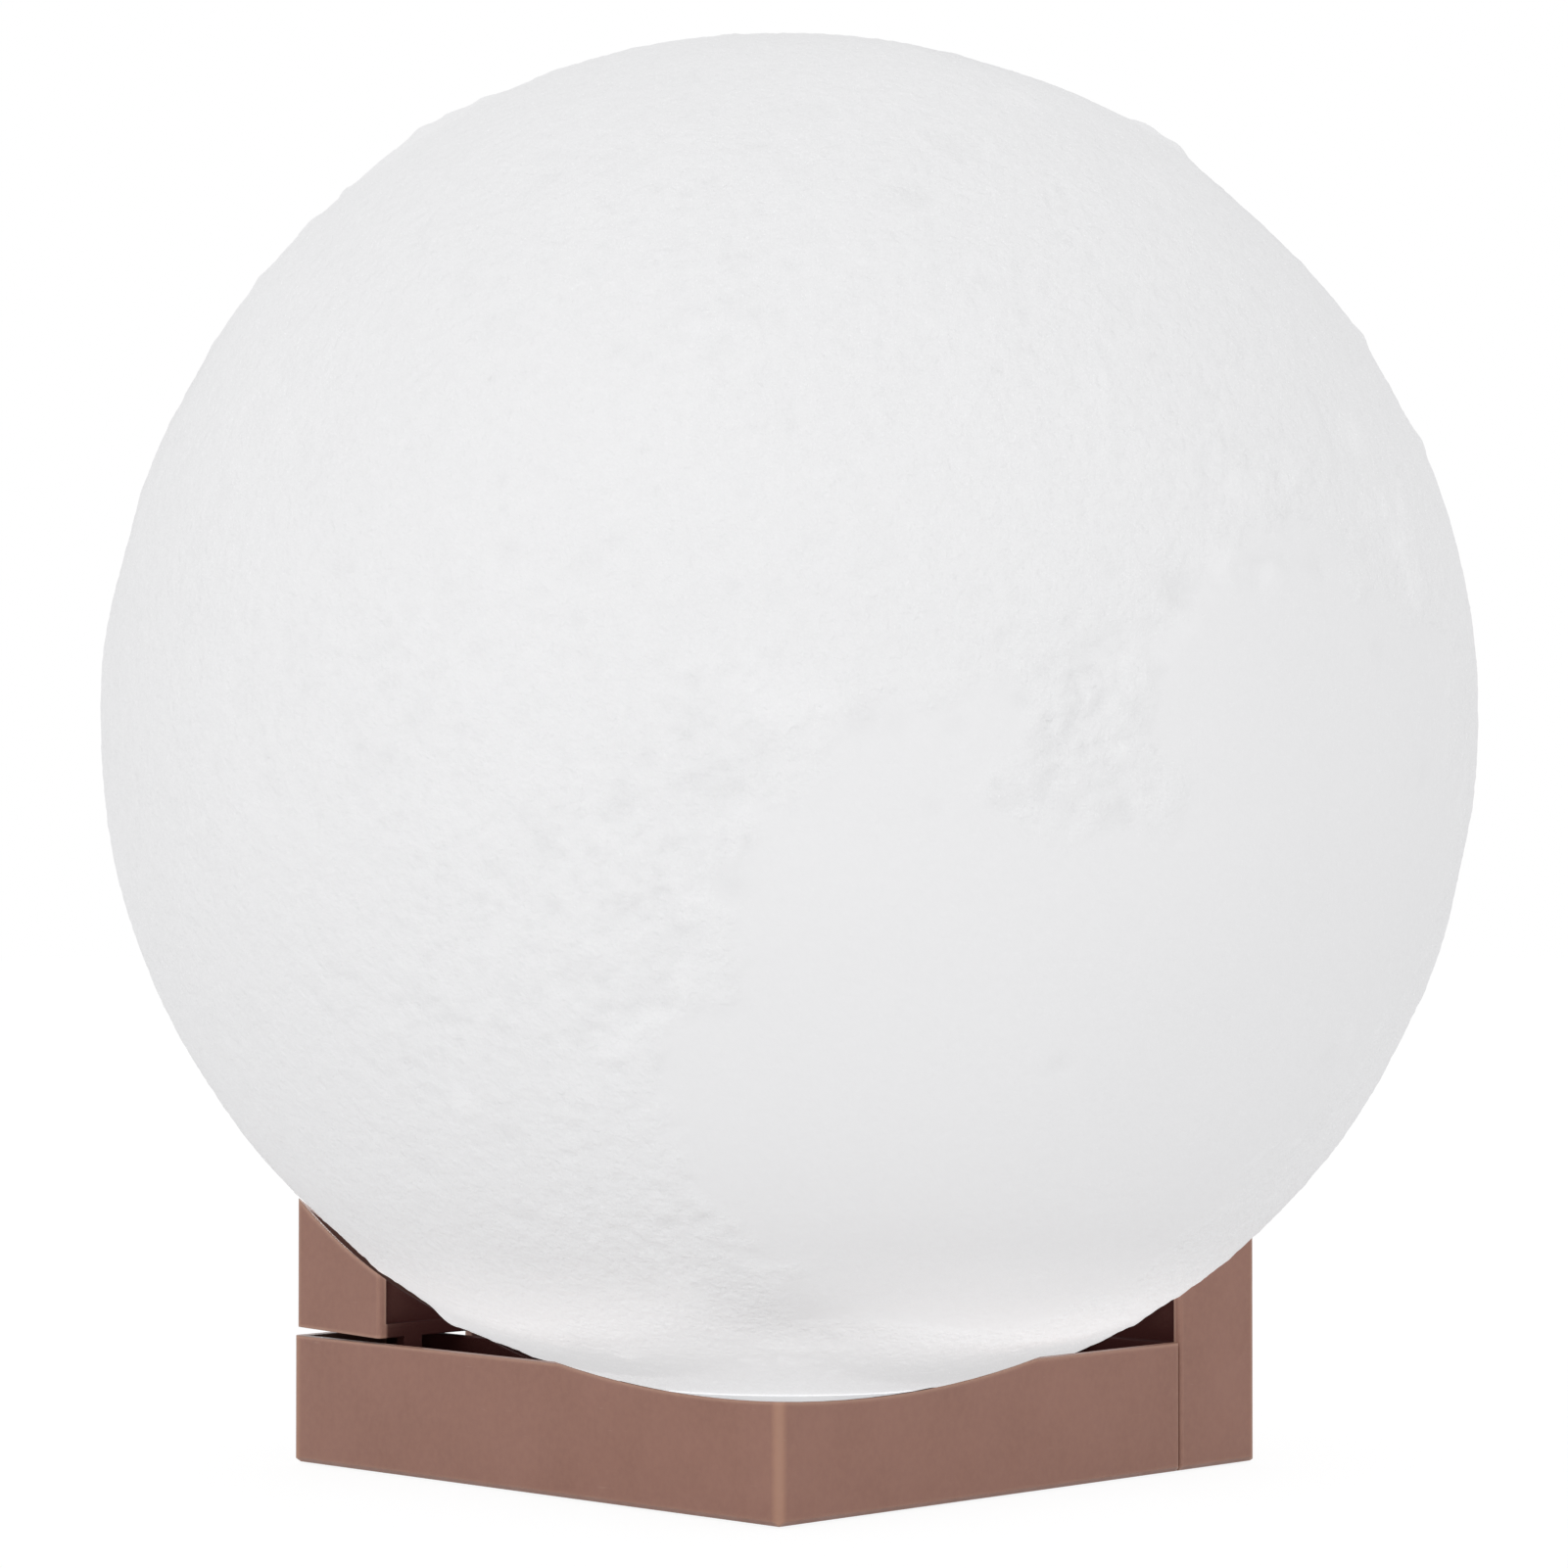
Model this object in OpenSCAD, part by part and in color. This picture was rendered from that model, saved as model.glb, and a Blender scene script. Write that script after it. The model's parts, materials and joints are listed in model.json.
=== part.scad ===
// Rechargeable moon lamp: a hollow printed moon on a square two-piece stand.
// Origin: on the moon's axis, on the table. +Z is up and the stand's front corner points to -Y.

/* [Moon shade] */
// Outer diameter of the moon
moon_d = 150; // [140:1:160]
// Thickness of the printed shell
moon_wall = 1.6; // [1.2:0.1:2.4]
// Height of the moon's lowest point above the table
moon_clear = 6.4; // [5.6:0.1:8]
// Diameter of the opening at the moon's bottom
opening_d = 38; // [37:0.5:39]

/* [Stand] */
// Side of the square stand, outer face to outer face
side = 74.7; // [74:0.1:78]
// Height of the rails
rail_h = 13.8; // [12:0.1:14.5]
// Width of the front rail, outer face to inner face
rail_w = 13.4; // [11:0.1:14]
// Width of the back rail's arm that ends in the raised block
block_w = 14.2; // [11:0.1:14.4]
// Width of the back rail's arm that ends in the post
post_w = 12.9; // [11:0.1:13.6]
// Height to which the post and the block rise where the moon leaves room
post_h = 29.4; // [22:0.1:32]
// Length of the post along its arm
post_l = 26; // [22:0.5:32]
// Wall thickness of the rails
rail_wall = 1.2; // [1:0.1:1.6]
// Thickness of the rails' floors
rail_floor = 1.5; // [1.2:0.1:2.5]
// Radius of the rails' upright edges at the stand's corners
edge_r = 1; // [0.4:0.1:1.4]
// Radius of the other upright edges
edge_fine_r = 0.35; // [0.1:0.05:0.6]
// Depth of the panels in the inner faces of the post and the block
panel_t = 0.6; // [0.3:0.1:0.8]
// Rim in front of those panels
panel_rim = 1; // [0.6:0.1:1.5]
// Outward lean of the front rail's left end, in degrees
end_lean = 1.6; // [0:0.1:2]
// Height of the front corner, where the front rail dips under the moon
dip_h = 12.4; // [11.5:0.1:13]
// Slope of that dip, down from the front corner, in degrees
dip_slope = 6.4; // [5:0.2:7]
// Bevel round the rails' feet
foot_bevel = 0.5; // [0.2:0.1:0.8]
// Distance from the stand's centre to the moon's axis, to the right
stand_shift = 1.5; // [0:0.1:1.8]
// Gap between the moon and the stand that carries it
seat_gap = 0.3; // [0.2:0.05:0.5]
// Gap kept clear round the flange, inside the stand
flange_gap = 1; // [0.6:0.1:1.3]

/* [Stand joints] */
// Gap under the raised block at its outer corner
block_gap = 1; // [0.7:0.1:1.6]
// Slope of the raised block's underside, in degrees
block_tilt = 1.6; // [0:0.1:2]
// Thickness of the raised block's underside
block_floor = 1.1; // [0.8:0.1:1.6]
// Length of the raised block that stands clear of the table
notch_l = 25; // [20:0.5:28]
// Length of the raised block that stands on the rail behind it
block_lap = 1; // [0.8:0.1:4]
// Gap between the front rail's end and the post
joint_gap = 0.25; // [0.15:0.05:0.5]
// Width of the key that drops into the front rail
key_w = 2.5; // [2:0.1:4]
// Distance of the key from the front rail's outer face
key_inset = 3.6; // [3:0.1:5]
// Height of the ribs that hold the key
socket_h = 7; // [5:0.5:9]
// Width of the tongue at the front rail's right end
tongue_w = 4; // [3:0.1:6]
// Clearance round the key and the tongue
lock_gap = 0.3; // [0.2:0.05:0.5]

/* [Base housing] */
// How far the flange reaches past the moon's opening
flange_lip = 2.5; // [1.5:0.1:2.8]
// Thickness of the flange
flange_t = 1.8; // [1.6:0.1:1.8]
// Thickness of the glue ring under the moon's rim
seal_t = 0.4; // [0.2:0.1:0.4]
// Gap between the cup and the edge of the moon's opening
cup_gap = 0.3; // [0.2:0.05:0.5]
// Wall of the cup
cup_wall = 1.8; // [1.4:0.1:2]
// Height of the cup above the flange
cup_h = 14.5; // [13.5:0.5:18]
// Outer diameter of the touch ring
ring_d = 33; // [32:0.5:34]
// Width of the touch ring
ring_w = 3.2; // [2.5:0.1:4]
// Thickness of the touch ring
ring_t = 0.9; // [0.8:0.1:1.1]
// Depth of the groove that holds the touch ring
groove_t = 0.6; // [0.5:0.1:0.8]

/* [Controls] */
// Diameter of the power button
button_d = 6; // [5:0.1:6.6]
// Travel of the power button
button_travel = 0.5; // [0.3:0.1:0.6]
// Distance of the button and of the indicator from the axis
control_y = 8; // [7.6:0.1:8.4]
// Radial clearance of the button and of the switch plunger in their bores
slide_fit = 0.08; // [0.05:0.01:0.1]
// Side of the switch body
switch_w = 6; // [5:0.5:6]
// Diameter of the switch plunger
plunger_d = 3.2; // [2.5:0.1:3.5]
// Diameter of the indicator's lens
lens_d = 3; // [2:0.1:4]

/* [Circuit boards] */
// Height of the driver board above the flange
board_lift = 6.5; // [6.2:0.1:7]
// Thickness of the driver board
board_t = 1.2; // [0.8:0.1:1.6]
// Gap between the driver board and the cup
board_gap = 1; // [0.6:0.1:1.4]
// Distance of the driver board's parts from the axis
parts_at = 8.5; // [8:0.1:9]
// Side of the charging chip
charge_chip_w = 5; // [4:0.1:5.5]
// Side of the touch chip
touch_chip_w = 4; // [3:0.1:5]
// Length of the small chips
small_chip_l = 2.2; // [1.6:0.1:3]
// Width of the small chips
small_chip_w = 1.3; // [0.8:0.1:1.6]
// Thickness of the driver board's chips
board_chip_t = 1.2; // [0.8:0.1:1.6]
// Diameter of the inductor
inductor_d = 6; // [5:0.1:6.4]
// Height of the inductor
inductor_h = 3.4; // [2.5:0.1:4]
// Width of the charging socket
usb_w = 9; // [8.5:0.1:9.5]
// Thickness of the charging socket
usb_t = 3.2; // [3:0.1:3.6]
// Diameter of the screws' shanks
screw_d = 1.5; // [1.2:0.1:1.6]
// Length of the screws' shanks
screw_l = 5; // [4:0.5:6]
// Diameter of the bosses
boss_d = 4.2; // [3.8:0.1:4.4]

/* [Battery and light] */
// Diameter of the battery cell
cell_d = 14.2; // [13:0.1:15]
// Length of the battery cell
cell_l = 50; // [40:1:52]
// Thickness of the foam pads at the cell's ends
pad_t = 1; // [0.6:0.1:2]
// Gap between the cell and the tube
cell_gap = 0.6; // [0.3:0.1:0.8]
// Wall of the tube round the cell
tube_wall = 1.2; // [1:0.1:1.6]
// Thickness of the inner cover and of the tube's top flange
cover_t = 2; // [1.6:0.1:3]
// Diameter of the light board
led_board_d = 25; // [24.5:0.5:28]
// Thickness of the light board
led_board_t = 1.5; // [1:0.1:2]
// Diameter of the dome over the lights
dome_d = 17; // [16:0.1:17.2]
// Wall of the dome
dome_wall = 0.9; // [0.6:0.1:1.2]
// Side of a light chip
chip_w = 2.8; // [2:0.1:3]
// Lights in the ring on the light board
led_count = 6; // [3:1:6]
// Diameter of the leads
lead_d = 1.2; // [0.8:0.1:1.4]

/* [Hidden] */
$fn = 96;
eps = 0.01;

// Colours
stand_brown = [0.6, 0.46, 0.41];
moon_white = [0.92, 0.92, 0.93];
part_white = [0.86, 0.87, 0.88];
steel = [0.72, 0.73, 0.75];
board_green = [0.1, 0.35, 0.2];
part_black = [0.1, 0.1, 0.11];
cell_blue = [0.2, 0.35, 0.6];
foam_grey = [0.35, 0.35, 0.36];
light_yellow = [0.95, 0.85, 0.4];
lens_clear = [0.85, 0.9, 0.92];
lead_red = [0.7, 0.1, 0.1];

// Moon
moon_r = moon_d / 2;
moon_z = moon_clear + moon_r;
opening_r = opening_d / 2;
function moon_under(rho) = moon_z - sqrt(moon_r * moon_r - rho * rho);

// Stand, in its own square frame: the front corner is (-half, -half)
half = side / 2;
tall = moon_z;
front_end = half - post_w - joint_gap;
block_z = rail_h + block_gap;
block_l = notch_l + block_lap;
end_out = rail_h * tan(end_lean);
panel_wall = rail_wall + panel_t;
key_x = -half + key_inset;
key_y = half - block_w;
key_foot = rail_floor + lock_gap;
tongue_h = rail_h - 2;
tongue_l = 1;
tongue_y = -half + rail_w / 2;
rib_t = 1;
rib_h = rail_h * 0.6;
rib_spots = [0.3, 0.62];

// Base housing, upwards from the flange
flange_top = moon_under(opening_r) - seal_t;
flange_z = flange_top - flange_t;
flange_r = opening_r + flange_lip;
cup_r = opening_r - cup_gap;
cup_in = cup_r - cup_wall;
cup_top = flange_top + cup_h;
ring_r = ring_d / 2;
ring_in = ring_r - ring_w;
ring_top = flange_z + groove_t;
board_z = flange_top + board_lift;
board_top = board_z + board_t;
board_r = cup_in - board_gap;
screw_r = screw_d / 2;
pilot_r = screw_r + 0.05;
screw_hole_r = screw_r + 0.15;
head_r = screw_d * 1.2;
head_t = screw_d * 0.8;
boss_r = boss_d / 2;
board_boss_at = board_r - boss_r - 0.3;
cover_boss_at = cup_in - boss_r + 0.6;
board_turn = 90;
cover_turn = 30;
thirds = [0, 120, 240];

// Controls
button_r = button_d / 2;
button_lip = 0.8;
button_lip_t = 0.8;
button_rest = 0.15;
button_out = 0.1;
plunger_r = plunger_d / 2;
switch_z = flange_top + 3;
plunger_z = switch_z - 1;
plunger_in = 1.2;
lens_r = lens_d / 2;
led_t = 0.8;
usb_z = flange_z + 0.3;
usb_skin = 0.3;
usb_clear = 0.3;
contact_r = 0.8;
contact_at = (ring_r + ring_in) / 2;

// Battery tube and light board
cell_r = cell_d / 2;
cell_edge = 0.6;
tube_in = cell_r + cell_gap;
tube_r = tube_in + tube_wall;
cover_top = cup_top + cover_t;
cell_z = cover_top + pad_t;
tube_top = cell_z + cell_l + pad_t;
led_board_r = led_board_d / 2;
led_top = tube_top + led_board_t;
lead_r = lead_d / 2;
lead_hole = lead_r + 0.25;
lead_side_at = tube_r + lead_hole;
lead_turns = [170, 190];
lead_hub_at = 2.2;
pad_hole = lead_hub_at + lead_r + 0.5;
led_screw_at = led_board_r - 2;
led_screw_l = cover_t + led_board_t - 0.5;
dome_r = dome_d / 2;
chip_t = 0.8;
chip_ring_r = dome_r - dome_wall - chip_w;

module in_stand() {
    translate([-stand_shift, 0, 0]) rotate(45) children();
}

// The space of the moon and of its flange, seen from the stand's square frame
module moon_space() {
    rotate(-45) translate([stand_shift, 0, 0]) {
        translate([0, 0, moon_z]) sphere(r = moon_r + seat_gap, $fn = 180);
        translate([0, 0, -eps]) cylinder(r = flange_r + flange_gap, h = moon_z);
    }
}

// The dip through the front corner: the moon's outline carried on towards the front and upwards
module front_dip() {
    rotate(-45) translate([stand_shift, -half * sqrt(2), dip_h + moon_r / cos(dip_slope)])
        rotate([90 - dip_slope, 0, 0]) cylinder(r = moon_r, h = 2 * side, center = true, $fn = 180);
}

// A box between its lowest and its highest corner
module span(low, high) {
    translate(low) cube(high - low);
}

// Rounds an upright edge by r; (sx, sy) points from the corner into the material
module edge_cut(x, y, sx, sy, r = edge_r) {
    translate([x, y, -eps]) mirror([sx < 0 ? 1 : 0, 0, 0]) mirror([0, sy < 0 ? 1 : 0, 0])
        linear_extrude(tall) difference() {
            translate([-1, -1]) square(r + 1);
            translate([r, r]) circle(r);
        }
}

// Bevels the foot of an outer face that runs from (x, y) for l along the angle turn
module foot_cut(x, y, turn, l) {
    bar = foot_bevel * sqrt(2);
    translate([x, y, 0]) rotate(turn) translate([l / 2, 0, 0]) rotate([45, 0, 0])
        cube([l + 2, bar, bar], center = true);
}

module front_rail() {
    inner = -half + rail_w;
    w = rail_wall;
    color(stand_brown) in_stand() difference() {
        union() {
            difference() {
                linear_extrude(rail_h) polygon([
                    [-half, -half], [front_end, -half], [front_end, inner],
                    [inner, inner], [inner, half + end_out], [-half, half + end_out]]);
                translate([0, 0, rail_floor]) linear_extrude(tall) polygon([
                    [-half + w, -half + w], [front_end - w, -half + w],
                    [front_end - w, inner - w], [inner - w, inner - w],
                    [inner - w, half - w], [-half + w, half - w]]);
            }
            for (f = rib_spots) {
                span([-half + w / 2, -half + f * side, eps],
                     [inner - w / 2, -half + f * side + rib_t, rib_h]);
                span([-half + f * side, -half + w / 2, eps],
                     [-half + f * side + rib_t, inner - w / 2, rib_h]);
            }
            for (y = [key_y - lock_gap - rib_t, key_y + w + lock_gap])
                span([-half + w / 2, y, eps], [inner - w / 2, y + rib_t, socket_h]);
            span([front_end - w / 2, tongue_y - tongue_w / 2, 0],
                 [front_end + joint_gap + w + tongue_l, tongue_y + tongue_w / 2, tongue_h]);
        }
        moon_space();
        front_dip();
        translate([-half - 1, half, 0]) rotate([-end_lean, 0, 0]) translate([0, 0, -1])
            cube([rail_w + 2, 2, tall]);
        edge_cut(-half, -half, 1, 1);
        edge_cut(-half, half + end_out, 1, -1);
        edge_cut(front_end, -half, -1, 1, edge_fine_r);
        foot_cut(-half, -half, 0, front_end + half);
        foot_cut(-half, -half, 90, side);
        foot_cut(-half, half, 0, rail_w);
    }
}

// The sloping plane under the raised block: children hang from it at the left corner
module under_block() {
    translate([-half, half, block_z]) rotate([block_tilt, 0, 0]) children();
}

// The hollow of the back rail, open at the top
module back_pocket() {
    w = rail_wall;
    block_in = half - block_w;
    post_in = half - post_w;
    low_end = -half + notch_l;
    difference() {
        union() {
            translate([0, 0, rail_floor]) linear_extrude(rail_h - rail_floor + eps) polygon([
                [low_end + w, block_in + w], [post_in + w, block_in + w],
                [post_in + w, -half + w], [half - w, -half + w],
                [half - w, half - w], [low_end + w, half - w]]);
            span([post_in + panel_wall, -half + w, rail_h], [half - w, -half + post_l, tall]);
            span([-half + w, block_in + panel_wall, block_z + block_floor],
                 [-half + block_l, half - w, tall]);
        }
        span([post_in, -half + post_l - w, 0], [half, -half + post_l, tall]);
        span([-half + block_l - w, block_in, 0], [-half + block_l, half, tall]);
    }
}

module back_rail() {
    w = rail_wall;
    block_in = half - block_w;
    post_in = half - post_w;
    low_end = -half + notch_l;
    color(stand_brown) in_stand() difference() {
        union() {
            difference() {
                union() {
                    linear_extrude(rail_h) polygon([
                        [low_end, block_in], [post_in, block_in], [post_in, -half],
                        [half, -half], [half, half], [low_end, half]]);
                    span([-half, block_in, 0], [-half + block_l, half, post_h]);
                    span([post_in, -half, 0], [half, -half + post_l, post_h]);
                }
                back_pocket();
                span([post_in - 1, -half + panel_rim, rail_h],
                     [post_in + panel_t, -half + post_l, tall]);
                span([-half + panel_rim, block_in - 1, block_z + block_floor],
                     [-half + block_l, block_in + panel_t, tall]);
                under_block() translate([-w, -block_w - w, -tall])
                    cube([notch_l + w, block_w + 2 * w, tall]);
            }
            under_block() translate([0, -block_w, 0]) cube([notch_l, block_w, block_floor]);
            span([key_x, key_y, key_foot], [key_x + key_w, key_y + w, block_z]);
        }
        moon_space();
        span([post_in - eps, tongue_y - tongue_w / 2 - lock_gap, -eps],
             [post_in + w + tongue_l + lock_gap, tongue_y + tongue_w / 2 + lock_gap,
              tongue_h + lock_gap]);
        edge_cut(-half, half, 1, -1);
        edge_cut(half, half, -1, -1);
        edge_cut(half, -half, -1, 1);
        edge_cut(-half, block_in, 1, 1, edge_fine_r);
        edge_cut(post_in, -half, 1, 1, edge_fine_r);
        foot_cut(low_end, half, 0, side - notch_l);
        foot_cut(half, -half, 90, side);
        foot_cut(post_in, -half, 0, post_w);
    }
}

module moon_shade() {
    color(moon_white) difference() {
        translate([0, 0, moon_z]) difference() {
            sphere(r = moon_r, $fn = 180);
            sphere(r = moon_r - moon_wall, $fn = 180);
        }
        cylinder(r = opening_r, h = moon_z);
    }
}

module seal_ring() {
    color(lens_clear) difference() {
        translate([0, 0, flange_top]) cylinder(r = flange_r - 0.2, h = 2 * seal_t + 1);
        cylinder(r = opening_r, h = moon_z);
        translate([0, 0, moon_z]) sphere(r = moon_r, $fn = 180);
    }
}

module at_thirds(radius, turn) {
    for (a = thirds) rotate(a + turn) translate([radius, 0, 0]) children();
}

// A slot outline with round ends, w wide over all and t thick
module stadium(w, t) {
    square([w - t, t], center = true);
    for (s = [-1, 1]) translate([s * (w - t) / 2, 0]) circle(d = t);
}

module base_housing() {
    color(part_white) difference() {
        union() {
            translate([0, 0, flange_z]) cylinder(r = flange_r, h = flange_t);
            translate([0, 0, flange_top - eps]) difference() {
                cylinder(r = cup_r, h = cup_h + eps);
                translate([0, 0, -eps]) cylinder(r = cup_in, h = cup_h + 1);
            }
            intersection() {
                at_thirds(cover_boss_at, cover_turn)
                    translate([0, 0, flange_top - eps]) cylinder(r = boss_r, h = cup_h + eps);
                cylinder(r = cup_r - eps, h = moon_z);
            }
            at_thirds(board_boss_at, board_turn)
                translate([0, 0, flange_top - eps]) cylinder(r = boss_r, h = board_lift + eps);
        }
        at_thirds(cover_boss_at, cover_turn)
            translate([0, 0, cup_top - screw_l]) cylinder(r = pilot_r, h = screw_l + 1);
        at_thirds(board_boss_at, board_turn)
            translate([0, 0, board_z - screw_l]) cylinder(r = pilot_r, h = screw_l + 1);
        translate([0, 0, flange_z - eps]) difference() {
            cylinder(r = ring_r + 0.05, h = groove_t + eps);
            cylinder(r = ring_in - 0.05, h = groove_t + 1);
        }
        translate([contact_at, 0, 0]) cylinder(r = contact_r + 0.2, h = flange_top + 1);
        translate([0, -control_y, 0]) cylinder(r = button_r + slide_fit, h = flange_top + 1);
        translate([0, control_y, 0]) cylinder(r = lens_r + 0.05, h = flange_top + 1);
        linear_extrude(flange_top + 1) stadium(usb_w + 2 * usb_clear, usb_t + 2 * usb_clear);
    }
}

module touch_ring() {
    color(steel) translate([0, 0, ring_top - ring_t]) difference() {
        cylinder(r = ring_r, h = ring_t);
        translate([0, 0, -1]) cylinder(r = ring_in, h = ring_t + 2);
    }
}

module touch_contact() {
    collar_t = 0.8;
    color(steel) translate([contact_at, 0, ring_top]) {
        cylinder(r = contact_r, h = board_z - ring_top);
        translate([0, 0, board_z - ring_top - collar_t])
            cylinder(r = contact_r + 0.5, h = collar_t);
    }
}

module driver_board() {
    color(board_green) translate([0, 0, board_z]) difference() {
        cylinder(r = board_r, h = board_t);
        translate([0, 0, -1]) {
            at_thirds(board_boss_at, board_turn) cylinder(r = screw_hole_r, h = board_t + 2);
            at_thirds(cover_boss_at, cover_turn) cylinder(r = boss_r + 0.4, h = board_t + 2);
        }
    }
}

// A chip on the driver board, at an angle round the axis
module board_chip(turn, l, w, t) {
    translate([0, 0, board_top]) rotate(turn) translate([parts_at - l / 2, -w / 2, 0])
        cube([l, w, t]);
}

module board_chips() {
    color(part_black) {
        board_chip(60, charge_chip_w, charge_chip_w, board_chip_t);
        board_chip(125, touch_chip_w, touch_chip_w, board_chip_t);
        for (turn = [222, 237, 252]) board_chip(turn, small_chip_l, small_chip_w, board_chip_t);
    }
}

module inductor() {
    rim = inductor_h / 6;
    groove = inductor_d / 10;
    color(foam_grey) translate([0, 0, board_top]) rotate(-45) translate([parts_at, 0, 0])
        difference() {
            cylinder(d = inductor_d, h = inductor_h);
            translate([0, 0, rim]) difference() {
                cylinder(d = inductor_d + 1, h = inductor_h - 2 * rim);
                translate([0, 0, -1]) cylinder(d = inductor_d - 2 * groove, h = inductor_h + 2);
            }
        }
}

module usb_shell() {
    tall_usb = board_z - usb_z;
    color(steel) translate([0, 0, usb_z]) linear_extrude(tall_usb) difference() {
        stadium(usb_w, usb_t);
        stadium(usb_w - 2 * usb_skin, usb_t - 2 * usb_skin);
    }
}

module usb_tongue() {
    back_t = 1.5;
    tip = 0.8;
    tongue = [usb_w - 2.4, 0.7];
    color(part_black) {
        translate([0, 0, board_z - back_t]) linear_extrude(back_t)
            stadium(usb_w - 2 * usb_skin, usb_t - 2 * usb_skin);
        translate([0, 0, usb_z + tip]) linear_extrude(board_z - usb_z - tip - back_t + eps)
            square(tongue, center = true);
    }
}

module power_button() {
    lip_z = flange_top + button_rest;
    color(part_white) translate([0, -control_y, 0]) {
        translate([0, 0, flange_z - button_out])
            cylinder(r = button_r, h = lip_z - flange_z + button_out + eps);
        translate([0, 0, lip_z]) cylinder(r = button_r + button_lip, h = button_lip_t);
        translate([0, 0, lip_z + button_lip_t - eps])
            cylinder(r = plunger_r, h = plunger_z - lip_z - button_lip_t + eps);
    }
}

module switch_body() {
    bore = plunger_z + plunger_in + 1 + button_travel + 0.3 - switch_z;
    color(part_black) translate([0, -control_y, switch_z]) difference() {
        translate([-switch_w / 2, -switch_w / 2, 0]) cube([switch_w, switch_w, board_z - switch_z]);
        translate([0, 0, -1]) cylinder(r = plunger_r + slide_fit, h = bore + 1);
    }
}

module switch_plunger() {
    color(lead_red) translate([0, -control_y, plunger_z])
        cylinder(r = plunger_r, h = 1 + plunger_in);
}

module indicator_lens() {
    color(lens_clear) translate([0, control_y, flange_z])
        cylinder(r = lens_r, h = board_z - led_t - flange_z);
}

module indicator_led() {
    color(light_yellow) translate([-1, control_y - 0.6, board_z - led_t]) cube([2, 1.2, led_t]);
}

// A pan-head screw whose head rests at z = 0
module screw(l) {
    translate([0, 0, -l]) cylinder(r = screw_r, h = l + eps);
    difference() {
        cylinder(r = head_r, h = head_t);
        translate([0, 0, head_t / 2]) for (a = [0, 90]) rotate(a)
            translate([-head_r * 0.6, -0.15, 0]) cube([head_r * 1.2, 0.3, head_t]);
    }
}

module board_screws() {
    color(steel) translate([0, 0, board_top]) at_thirds(board_boss_at, board_turn) screw(screw_l);
}

module inner_cover() {
    color(part_white) difference() {
        union() {
            translate([0, 0, cup_top]) cylinder(r = cup_r, h = cover_t);
            translate([0, 0, cover_top - eps]) cylinder(r = tube_r, h = tube_top - cover_top);
            translate([0, 0, tube_top - cover_t]) cylinder(r = led_board_r, h = cover_t);
        }
        translate([0, 0, cover_top]) cylinder(r = tube_in, h = tube_top);
        translate([0, 0, cup_top - 1]) cylinder(r = pad_hole, h = cover_t + 2);
        translate([0, 0, cup_top - 1]) at_thirds(cover_boss_at, cover_turn)
            cylinder(r = screw_hole_r, h = cover_t + 2);
        for (a = lead_turns) rotate(a) translate([lead_side_at, 0, cup_top - 1])
            cylinder(r = lead_hole, h = moon_z);
        for (s = [-1, 1]) translate([0, s * led_screw_at, tube_top - cover_t - 1])
            cylinder(r = pilot_r, h = cover_t + 2);
    }
}

module cover_screws() {
    color(steel) translate([0, 0, cover_top]) at_thirds(cover_boss_at, cover_turn) screw(screw_l);
}

module battery_cell() {
    color(cell_blue) translate([0, 0, cell_z]) rotate_extrude() polygon([
        [0, 0], [cell_r - cell_edge, 0], [cell_r, cell_edge],
        [cell_r, cell_l - cell_edge], [cell_r - cell_edge, cell_l], [0, cell_l]]);
}

module battery_pads() {
    color(foam_grey) {
        translate([0, 0, cover_top]) difference() {
            cylinder(r = cell_r, h = pad_t);
            translate([0, 0, -1]) cylinder(r = pad_hole, h = pad_t + 2);
        }
        translate([0, 0, cell_z + cell_l]) cylinder(r = cell_r, h = pad_t);
    }
}

module battery_leads() {
    color(lead_red) for (s = [-1, 1]) translate([s * lead_hub_at, 0, board_top])
        cylinder(r = lead_r, h = cell_z - board_top, $fn = 24);
}

module led_board() {
    color(part_white) translate([0, 0, tube_top]) difference() {
        cylinder(r = led_board_r, h = led_board_t);
        for (s = [-1, 1]) translate([0, s * led_screw_at, -1])
            cylinder(r = screw_hole_r, h = led_board_t + 2);
    }
}

module led_chips() {
    color(light_yellow) translate([0, 0, led_top]) {
        translate([-chip_w / 2, -chip_w / 2, 0]) cube([chip_w, chip_w, chip_t]);
        for (i = [0:led_count - 1]) rotate(i * 360 / led_count)
            translate([chip_ring_r - chip_w / 2, -chip_w / 2, 0]) cube([chip_w, chip_w, chip_t]);
    }
}

module led_screws() {
    color(steel) for (s = [-1, 1]) translate([0, s * led_screw_at, led_top]) screw(led_screw_l);
}

module led_leads() {
    color(lead_red) for (a = lead_turns) rotate(a) translate([lead_side_at, 0, board_top])
        cylinder(r = lead_r, h = tube_top - board_top, $fn = 24);
}

module led_dome() {
    color(lens_clear) translate([0, 0, led_top]) intersection() {
        difference() {
            sphere(r = dome_r);
            sphere(r = dome_r - dome_wall);
        }
        cylinder(r = dome_r + 1, h = dome_r + 1);
    }
}

front_rail();
back_rail();
moon_shade();
seal_ring();
base_housing();
touch_ring();
touch_contact();
driver_board();
board_chips();
inductor();
usb_shell();
usb_tongue();
power_button();
switch_body();
switch_plunger();
indicator_lens();
indicator_led();
board_screws();
inner_cover();
cover_screws();
battery_cell();
battery_pads();
battery_leads();
led_board();
led_chips();
led_screws();
led_leads();
led_dome();
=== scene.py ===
"""Looks of the moon lamp: a white printed moon with lunar relief on a brown moulded stand.

Everything is in metres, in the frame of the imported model: +Z up, the stand's front corner to -Y.
"""
import json
import math

import bpy
import numpy as np
from mathutils import Matrix, Vector
from mathutils.bvhtree import BVHTree


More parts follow.
